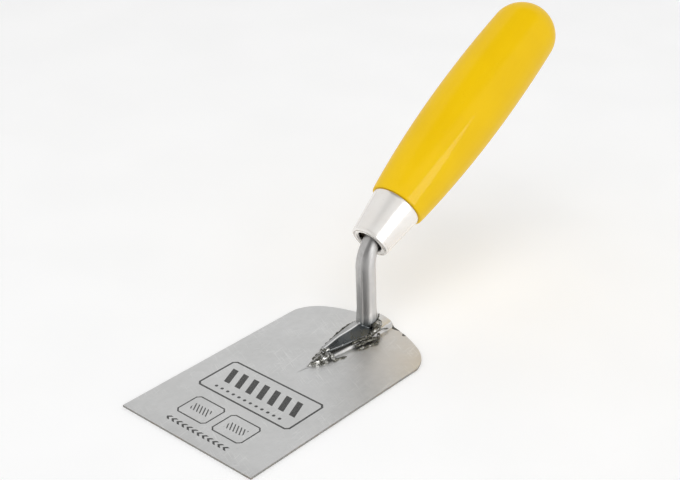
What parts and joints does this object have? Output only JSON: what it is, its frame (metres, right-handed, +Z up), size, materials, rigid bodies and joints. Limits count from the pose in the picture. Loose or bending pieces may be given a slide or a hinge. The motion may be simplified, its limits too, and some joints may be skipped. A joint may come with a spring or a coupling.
{
  "type": "plasterer's trowel",
  "caption": "Small plasterer's trowel: flat steel blade with rounded heel and pressed rib, welded cranked tang, conical ferrule and turned lacquered wooden handle.",
  "frame": {"origin": "centre of the flat part of the blade, on its underside", "axes": "+Z up out of the blade's upper face, +Y from the front edge towards the handle, +X to the right seen from the front edge"},
  "size_m": [0.0808, 0.2575, 0.1375],
  "materials": {
    "blade_steel": "satin",
    "forged_steel": "satin",
    "weld_metal": "satin",
    "nickel": "polished",
    "lacquered_wood": "gloss"
  },
  "bodies": {
    "root": {"blade": "blade_steel", "tang": "forged_steel", "weld_tip": "weld_metal", "weld_right_front": "weld_metal", "weld_right_rear": "weld_metal", "weld_left": "weld_metal", "weld_heel": "weld_metal", "ferrule": "nickel", "handle": "lacquered_wood"}
  },
  "joints": []
}
